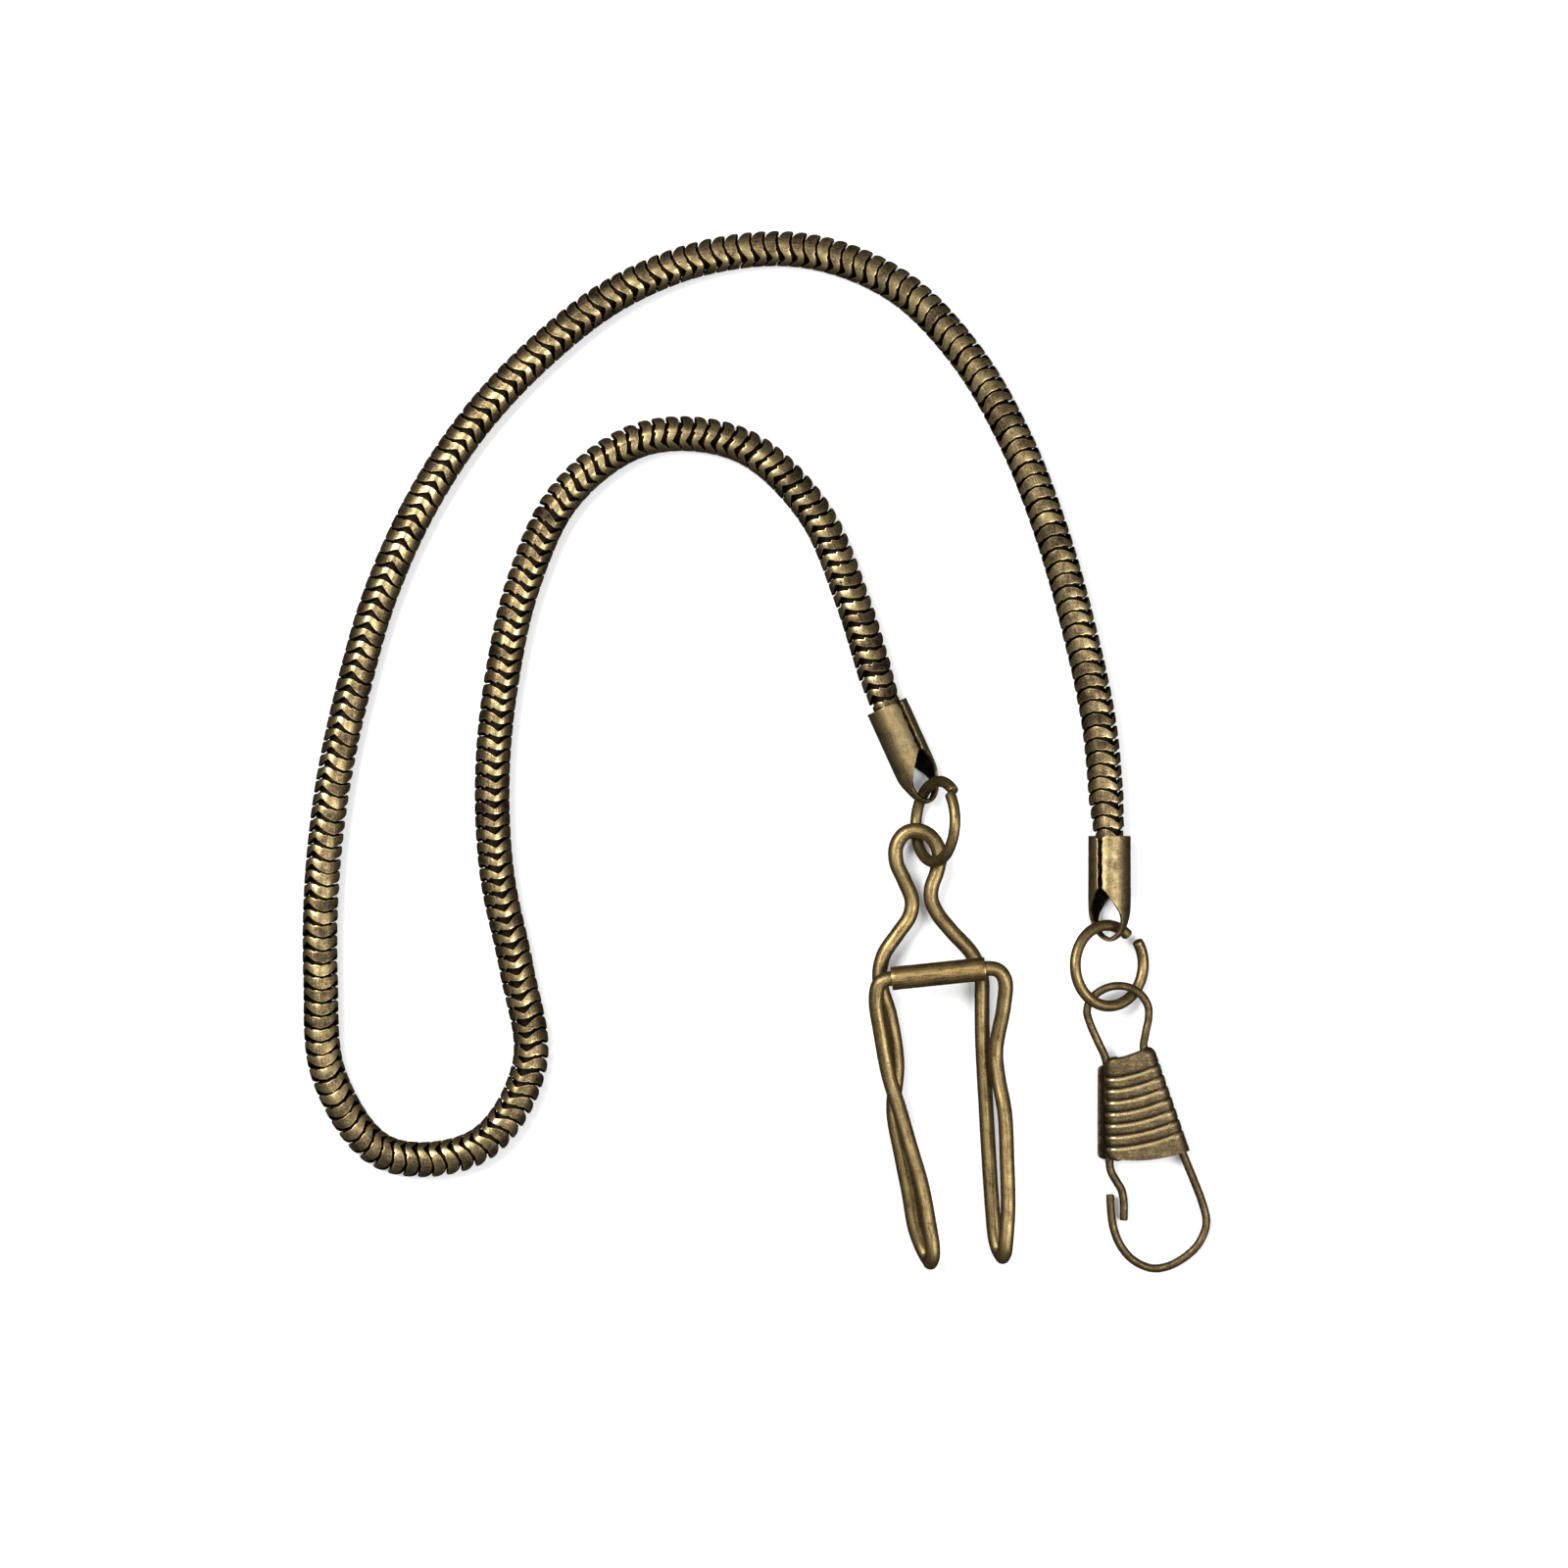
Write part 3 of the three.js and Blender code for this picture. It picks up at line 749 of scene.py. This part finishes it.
def plates(line, turns, radii, material, name):
    """Rigid plates threaded along a line, one at each point, each turned about the line."""
    along, side, up = level_frames(line)
    grain_step = 20.0
    points, wear_and_painted_light, grain, faces = [], [], [], []
    for k in range(len(line)):
        rows, angles = plate_rows(radii[k])
        sides, depth = rows.shape[:2]
        roll = math.radians(turns[k] + RANDOM.normal(0, TURN_SPREAD))
        slide = RANDOM.normal(0, SLIDE_SPREAD)
        worn = RANDOM.normal(0, WEAR_SPREAD)
        out = np.cos(angles + roll)[:, None] * up[k] + np.sin(angles + roll)[:, None] * side[k]
        a, r = rows[:, :, 0] + slide, rows[:, :, 1]
        places = line[k] + a[..., None] * along[k] + r[..., None] * out[:, None]
        points.append(places.reshape(-1, 3))
        wear_and_painted_light.append((rows[:, :, 2] + worn).ravel())
        across = [r * np.cos(angles)[:, None], r * np.sin(angles)[:, None]]
        grain.append(np.stack([a + grain_step * k, *across], 2).reshape(-1, 3))
        faces += ring_faces(sides, depth, k * sides * depth)
    return piece(name, np.vstack(points), faces, material, np.concatenate(wear_and_painted_light), np.vstack(grain))


def snake_chain(material):
    """The whole free chain: one piece of about 240 plates."""
    route = smooth_line(CHAIN_ROUTE, ROUTE_STEP)
    length = line_length(route)
    count = round(length / PLATE_PITCH)
    seats = evenly(route, length / count)
    middle = (seats[:-1] + seats[1:]) / 2
    where = (np.arange(count) + 0.5) * length / count
    turns = np.interp(where, *np.transpose(CHAIN_TWIST))
    radii = np.full(count, CHAIN_DIAMETER / 2)
    for i in range(NECK_PLATES):
        share = NECK_SHARE + (1 - NECK_SHARE) * i / NECK_PLATES
        radii[i] *= share
        radii[-1 - i] *= share
    made = plates(middle, turns, radii, material, "snake_chain_plates")
    hand_over(made, "chain", "chain_plates", "snake_chain")


def gripped_plates(end, cap, first_turn, material):
    """The last plates, held inside a cap."""
    rotation = cap_rotation(cap)
    count = round(CAP_PLATES_DEPTH / PLATE_PITCH)
    middles = [(0, CAP_PLATES_SHOW - PLATE_PITCH * (i + 0.5), 0) for i in range(count)]
    if end == "watch":
        middles.reverse()
    line = placed(middles, cap["at"], rotation)
    radii = np.full(count, CAP_PLATES_DIAMETER / 2)
    turns = np.full(count, float(first_turn))
    made = plates(line, turns, radii, material, end + "_end_gripped_plates")
    hand_over(made, "chain", "chain_plates", end + "_end_plates")


# ---------------------------------------------------------------- end caps


def cap_rotation(cap):
    """The rotation that lays a cap along its heading, lifted and rolled."""
    return turned("Z", cap["heading"]) @ turned("X", -cap["lift"]) @ turned("Y", cap["roll"])


def cap_sheet():
    """The cap's sheet as a surface: points, faces and, for each point, its place along and across
    the sheet. It runs from the mouth down one strap, round the bail and up the other."""
    r = (CAP_DIAMETER - CAP_WALL) / 2
    end = CAP_LENGTH - CAP_WALL / 2
    half = [(-r + inset, -distance, 0) for inset, distance in CAP_OUTLINE]
    other = [(-x, y, z) for x, y, z in reversed(half)]
    line = smooth_line([*half, (0, -end, 0), *other], CAP_STEP)
    along = directions(line)
    out = np.cross(along, (0, 0, 1))
    out[:, 2] = 0
    out /= np.linalg.norm(out, axis=1)[:, None]
    total = line_length(line)
    walked = np.linspace(0, total, len(line))
    from_mouth = np.minimum(walked, total - walked)
    across = 24
    seam = CAP_SEAM / 2 / r
    points, lay = [], []
    for i, centre in enumerate(line):
        widest = math.asin(np.interp(from_mouth[i], *np.transpose(CAP_STRAP)))
        front = widest
        if from_mouth[i] < CAP_TUBE_LENGTH:
            ragged = sum(far * math.sin(fast * walked[i] + at) for far, fast, at in CAP_RAGGED)
            front -= seam * (1 + ragged) + corner_cut(from_mouth[i], CAP_CORNER) / r
        angles = np.linspace(-widest, front, across + 1)
        inward = r * (1 - np.cos(angles))
        points.append(centre - inward[:, None] * out[i] + np.outer(r * np.sin(angles), (0, 0, 1)))
        lay.append(np.stack([np.full(across + 1, walked[i]), r * angles, np.zeros(across + 1)], 1))
    faces = grid_faces(len(line), across + 1, closed=False)
    return np.vstack(points), faces, np.vstack(lay)


def cap_wear_and_highlight(mesh, places):
    """Worn outside and most on the edges, brighter along the seam's lips, worn and with a
    painted highlight, dark inside.
    """
    shoulder = -7.0
    seam_span = 0.2
    away = places - (0, 1, 0) * np.maximum(places[:, 1:2], shoulder)
    outward = (away * vertex_rows(mesh, "normal")).sum(1) > 0
    wear_and_painted_light = np.where(outward, CAP_WEAR_AND_HIGHLIGHT["outside"], CAP_WEAR_AND_HIGHLIGHT["inside"])
    wear_and_painted_light += CAP_WEAR_AND_HIGHLIGHT["edges"] * np.clip(convexity(mesh), -0.3, 0.45)
    # A painted highlight, besides the worn edges, along both lips of the seam on the cap's top
    seam_lip_wear_and_highlight = np.exp(-(((np.abs(places[:, 0]) - CAP_SEAM / 2) / seam_span) ** 2))
    seam_lip_wear_and_highlight *= (places[:, 2] > 0) * (places[:, 1] > -CAP_TUBE_LENGTH)
    return wear_and_painted_light + CAP_WEAR_AND_HIGHLIGHT["seam"] * seam_lip_wear_and_highlight


def end_cap(end, cap, material):
    """A cap of rolled sheet, made in its own frame and then laid in its place."""
    points, faces, lay = cap_sheet()
    made = piece(end + "_cap", points, faces, material, np.zeros(len(points)), lay)
    weld = made.modifiers.new("weld", "WELD")
    weld.merge_threshold = 0.02 * MM
    mesh = with_wall(made, CAP_WALL, CAP_EDGE, limit=50).data
    places = vertex_rows(mesh, "co") / MM
    wear_and_painted_light = cap_wear_and_highlight(mesh, places)
    mesh.attributes.remove(mesh.attributes["wear_and_painted_light"])
    store(mesh, "wear_and_painted_light", wear_and_painted_light)
    settle(mesh, placed(places, cap["at"], cap_rotation(cap)))
    hand_over(made, "chain", "cap_sheet", end + "_end_cap")


# ---------------------------------------------------------------- wires and rings


def wire(name, line, diameter, material, form="cut"):
    """A piece of round wire along a line."""
    points, faces, grain = tube(line, diameter, WIRE_SIDES, form)
    return piece(name, points, faces, material, np.full(len(points), WIRE_WEAR), grain)


def jump_ring(name, ring, material):
    """An open ring of wire, its two ends sprung sideways from each other."""
    angles = np.radians(np.linspace(*ring["arc"], RING_POINTS))
    offsets = np.linspace(*ring["spread"], RING_POINTS)
    local = np.stack([RING_RADIUS * np.cos(angles), RING_RADIUS * np.sin(angles), offsets], 1)
    rotation = turned("Z", ring["turn"]) @ turned("Y", ring["tilt"])
    return wire(name, placed(local, ring["at"], rotation), RING_WIRE, material)


def fitting_wire(name, path, fitting, diameter, material, form="cut"):
    """A bent wire of the snap hook or the clip, along a path in that fitting's frame."""
    line = placed(smooth_line(path, WIRE_STEP), fitting["at"], turned("X", fitting["pitch"]))
    return wire(name, line, diameter, material, form)


# ---------------------------------------------------------------- the snap hook's sleeve


def between(a, b, share):
    """The point a share of the way from a to b."""
    return tuple(x + (y - x) * share for x, y in zip(a, b))


def sleeve_front():
    """The sleeve's folded loop as points, faces, tone and grain, ribbed across its front, with a
    painted highlight on each rib and painted shade in each groove.
    """
    half = SLEEVE_THICKNESS / 2
    length = SLEEVE_TOP[0][1] - SLEEVE_BOTTOM[0][1]
    points, wear_and_painted_light, lay = [], [], []
    for i in range(SLEEVE_ROWS):
        share = i / (SLEEVE_ROWS - 1)
        left = np.array(between(SLEEVE_TOP[0], SLEEVE_BOTTOM[0], share))
        right = np.array(between(SLEEVE_TOP[1], SLEEVE_BOTTOM[1], share))
        left[0] += SLEEVE_FOLD_INSET + corner_cut((1 - share) * length, SLEEVE_CORNER)
        left[0] += corner_cut(share * length, SLEEVE_CORNER)
        right[0] -= corner_cut(share * length, SLEEVE_CORNER)
        width = right[0] - left[0]
        section = sleeve_section(width, half)
        for x, z in section:
            across = min(1, max(0, x / width))
            y = left[1] + (right[1] - left[1]) * across**1.5
            y -= SLEEVE_BULGE * math.sin(math.pi * across) * share**4
            lift, edge = groove_at(across, y, z)
            fold = max(0, x - width + half) / half
            points.append((left[0] + x + lift * fold, y, z + lift * (1 - fold)))
            # edge carries each rib's worn brightness and painted highlight and each groove's
            # painted shade
            wear_and_painted_light.append(SLEEVE_WEAR_AND_PAINTED_LIGHT["front"] + edge)
            lay.append((x, y, z))
    return points, grid_faces(SLEEVE_ROWS, len(section)), wear_and_painted_light, lay


def sleeve_back(start):
    """The end of the sheet, which shows as a strip behind the left fold: points, faces, tone and
    grain, with faces counted from start. Its near-black is painted shade under the fold, and its
    outer edge gets a painted highlight."""
    rows, columns = 90, 5
    tucked = 0.08
    inner = SLEEVE_TOP[0][0] + SLEEVE_FOLD_INSET + tucked
    outer = SLEEVE_TOP[0][0] - BACK_SHEET_SHOWS
    points, wear_and_painted_light, lay = [], [], []
    for y in np.linspace(BACK_SHEET_TOP, BACK_SHEET_END, rows):
        from_end = min(BACK_SHEET_TOP - y, y - BACK_SHEET_END)
        side = outer + corner_cut(from_end, BACK_SHEET_CORNER)
        for share in np.linspace(0, 1, columns):
            x = inner + (side - inner) * share
            points.append((x, y, BACK_SHEET_HEIGHT))
            # Near-black painted shade under the fold, with a painted highlight along the outer edge
            wear_and_painted_light.append(SLEEVE_WEAR_AND_PAINTED_LIGHT["back"] + SLEEVE_WEAR_AND_PAINTED_LIGHT["back edge"] * share**3)
            lay.append((x, y, 0.0))
    return points, grid_faces(rows, columns, start, closed=False), wear_and_painted_light, lay


def sleeve_section(width, half):
    """A flat loop with round ends, as (x, z) pairs from the left fold over the front."""
    radius = half - SLEEVE_SHEET / 2
    turns = [math.pi * i / SLEEVE_FOLD_SIDES for i in range(SLEEVE_FOLD_SIDES + 1)]
    loop = [(radius - radius * math.sin(a), -radius * math.cos(a)) for a in turns]
    loop += [(x, radius) for x in np.linspace(radius, width - radius, 40)[1:-1]]
    loop += [(width - radius + radius * math.sin(a), radius * math.cos(a)) for a in turns]
    loop += [(x, -radius) for x in np.linspace(width - radius, radius, 20)[1:-1]]
    return loop


def groove_at(across, y, z):
    """How far the front is raised at a point by its grooves, and how its tone changes: brighter on
    a rib, worn and with a painted highlight, and darker in a groove, with painted shade.
    """
    back = -0.3
    if z < back:
        return 0.0, 0.0
    climb = (1 - GROOVE_BEND) * across + GROOVE_BEND * across**2
    off = math.inf
    for k in range(SLEEVE_GROOVES):
        left = SLEEVE_TOP[0][1] - FIRST_GROOVE - k * GROOVE_PITCH
        here = left + (GROOVE_RISE + GROOVE_RISE_GAIN * k) * climb - y
        off = min(off, here, key=abs)
    fade = 1.0 - 0.5 * across
    dip = hump(off, 0, GROOVE_WIDTH) * fade
    rib = hump(off, RIB_OFFSET, RIB_WIDTH) * fade
    # The rib below each groove is worn and painted with a highlight, the groove painted with shade
    rib_wear_highlight_and_groove_shade = SLEEVE_WEAR_AND_PAINTED_LIGHT["rib_wear_and_highlight"] * rib * fade - SLEEVE_WEAR_AND_PAINTED_LIGHT["grooves"] * dip
    return RIB_HEIGHT * rib - GROOVE_DEPTH * dip, rib_wear_highlight_and_groove_shade


def hook_sleeve(material):
    """Sheet folded flat round the wires, with its end showing behind the left fold."""
    front = sleeve_front()
    back = sleeve_back(len(front[0]))
    points, faces, wear_and_painted_light, lay = (a + b for a, b in zip(front, back))
    made = piece("snap_hook_sleeve", points, faces, material, wear_and_painted_light, lay)
    mesh = with_wall(made, SLEEVE_SHEET, SLEEVE_EDGE, limit=60).data
    places = vertex_rows(mesh, "co") / MM
    settle(mesh, placed(places, SNAP_HOOK["at"], turned("X", SNAP_HOOK["pitch"])))
    hand_over(made, "snap_hook", "hook_sleeve", "hook_sleeve")


# ---------------------------------------------------------------- the clip's tube


def tube_section(length):
    """The tube's closed section as (distance along, radius, wear) rows, worn on its rims."""
    outer, inner = TUBE_DIAMETER / 2, TUBE_BORE / 2
    rim, chamfer = TUBE_RIM, 0.3 * TUBE_RIM
    straight = [rim + (length - 2 * rim) * i / TUBE_STEPS for i in range(TUBE_STEPS)]
    outside, rims, ends, bore = (TUBE_WEAR[k] for k in ("outside", "rims", "ends", "bore"))
    return [
        *((distance, outer, outside) for distance in straight),
        (length - rim, outer, outside),
        (length - chamfer, outer - chamfer, rims),
        (length, outer - rim, rims),
        (length, inner + rim, ends),
        (length - rim, inner, bore),
        (rim, inner, bore),
        (0, inner + rim, ends),
        (0, outer - rim, rims),
        (chamfer, outer - chamfer, rims),
    ]


def clip_tube(material):
    """A thin tube with softened rims, round the straight part of the jaw wire."""
    a, b = np.array(TUBE_LEFT), np.array(TUBE_RIGHT)
    length = float(np.linalg.norm(b - a))
    section = tube_section(length)
    along = (b - a) / length
    side = np.cross(along, (0, 0, 1))
    up = np.cross(side, along)
    points, wear_and_painted_light, lay = [], [], []
    for j in range(TUBE_SIDES):
        angle = 2 * math.pi * j / TUBE_SIDES
        out = math.cos(angle) * up + math.sin(angle) * side
        for d, r, w in section:
            points.append(a + along * d + out * r)
            wear_and_painted_light.append(w)
            lay.append((d, r * math.cos(angle), r * math.sin(angle)))
    faces = ring_faces(TUBE_SIDES, len(section))
    points = placed(points, CLIP["at"], turned("X", CLIP["pitch"]))
    made = piece("clip_roller", points, faces, material, wear_and_painted_light, lay)
    hand_over(made, "roller", "clip_tube", "clip_tube")


# ---------------------------------------------------------------- the whole object

make_camera()
chain_metal = antique_brass("chain_plate_brass", tone=-0.03, streaks=0.3, patches=0.35, speckle=0.5)
snake_chain(chain_metal)
gripped_plates("watch", WATCH_CAP, CHAIN_TWIST[0][1], chain_metal)
gripped_plates("clip", CLIP_CAP, CHAIN_TWIST[-1][1], chain_metal)

sheet_metal = antique_brass("cap_sheet_brass", tone=-0.12, streaks=0.2, patches=0.35, speckle=0.45)
end_cap("watch", WATCH_CAP, sheet_metal)
end_cap("clip", CLIP_CAP, sheet_metal)

wire_metal = antique_brass(
    "wire_brass", tone=-0.07, streaks=0.35, patches=0.2, speckle=0.35, tint=WIRE_TINT
)
thin_metal = antique_brass(
    "hook_wire_brass", tone=-0.22, streaks=0.3, patches=0.25, speckle=0.35, tint=WIRE_TINT
)
ring = jump_ring("watch_jump_ring", WATCH_RING, wire_metal)
hand_over(ring, "watch_ring", "ring_wire", "watch_end_ring")
ring = jump_ring("clip_jump_ring", CLIP_RING, wire_metal)
hand_over(ring, "clip_ring", "ring_wire", "clip_end_ring")
hook = fitting_wire("snap_hook_wire", HOOK_PATH, SNAP_HOOK, HOOK_WIRE, thin_metal)
hand_over(hook, "snap_hook", "hook_wire", "hook_wire")
gate = fitting_wire("snap_hook_gate", GATE_PATH, SNAP_HOOK, HOOK_WIRE, thin_metal)
hand_over(gate, "gate", "hook_wire", "hook_gate")
back = fitting_wire("clip_back", CLIP_BACK_PATH, CLIP, CLIP_WIRE, wire_metal, "ball")
hand_over(back, "clip", "clip_wire", "clip_back_wire")
jaw = fitting_wire("clip_jaw", CLIP_JAW_PATH, CLIP, CLIP_WIRE, wire_metal, "short")
hand_over(jaw, "jaw", "clip_wire", "clip_jaw_wire")

sleeve_metal = antique_brass("sleeve_brass", tone=-0.13, streaks=0.2, patches=0.2, speckle=0.4)
hook_sleeve(sleeve_metal)
tube_metal = antique_brass(
    "tube_brass", tone=-0.08, streaks=0.5, patches=0.25, speckle=0.3, tint=TUBE_TINT
)
clip_tube(tube_metal)
studio()
